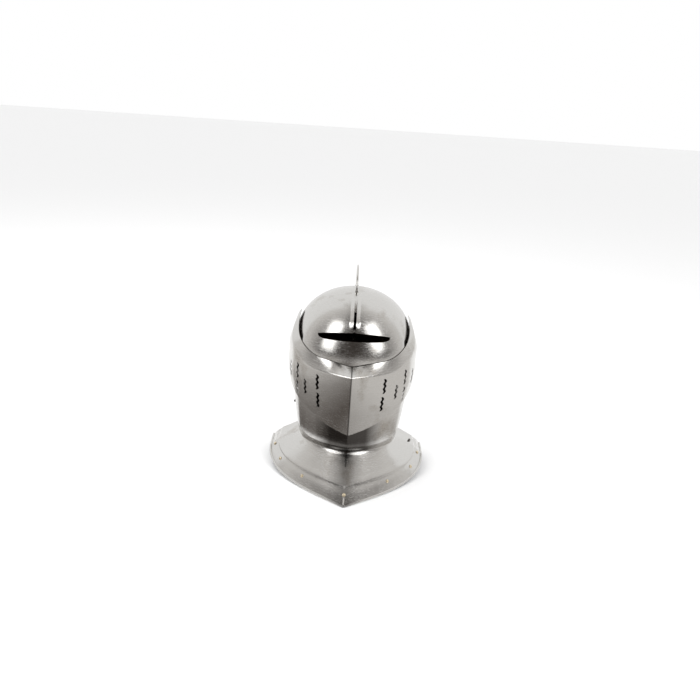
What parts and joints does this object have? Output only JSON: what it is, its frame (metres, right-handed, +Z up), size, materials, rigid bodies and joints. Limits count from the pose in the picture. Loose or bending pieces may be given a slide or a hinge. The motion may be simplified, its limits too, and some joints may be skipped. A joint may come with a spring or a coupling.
{
  "type": "close helmet",
  "caption": "Closed steel helmet with a tall thin comb, a visor with one long sight, a pointed breath guard with scalloped slots, a chin piece and a flared neck guard.",
  "frame": {"origin": "middle of the outer box in X and Y, on the surface that the gorget stands on", "axes": "+Z up, -Y where the face looks, +X the wearer's left; the pivots lie on a line along X"},
  "size_m": [0.277, 0.331, 0.3563],
  "materials": {
    "steel": "polished, with fine scratches",
    "rivet": "dull",
    "stud": "darkened"
  },
  "bodies": {
    "skull": {"skull": "steel", "gorget_rear": "steel", "pivot_right": "steel", "pivot_left": "steel", "rear_rivet_1": "rivet", "rear_rivet_2": "rivet", "rear_rivet_3": "rivet", "rear_rivet_4": "rivet", "rear_rivet_5": "rivet"},
    "bevor": {"bevor": "steel", "gorget_front": "steel", "latch_stud": "stud", "seam_stud": "stud", "gorget_rivet_1": "rivet", "gorget_rivet_2": "rivet", "gorget_rivet_3": "rivet", "gorget_rivet_4": "rivet", "gorget_rivet_5": "rivet", "gorget_rivet_6": "rivet", "gorget_rivet_7": "rivet"},
    "ventail": {"ventail": "steel"},
    "visor": {"visor": "steel"}
  },
  "joints": [
    {"name": "bevor_hinge", "type": "hinge", "parent": "skull", "child": "bevor", "pos_m": [0, 0.017, 0.21266], "axis": [-1, 0, 0], "range_deg": [0, 16]},
    {"name": "ventail_hinge", "type": "hinge", "parent": "bevor", "child": "ventail", "pos_m": [0, 0.017, 0.21266], "axis": [-1, 0, 0], "range_deg": [0, 14]},
    {"name": "visor_hinge", "type": "hinge", "parent": "bevor", "child": "visor", "pos_m": [0, 0.017, 0.21266], "axis": [-1, 0, 0], "range_deg": [0, 24]}
  ]
}
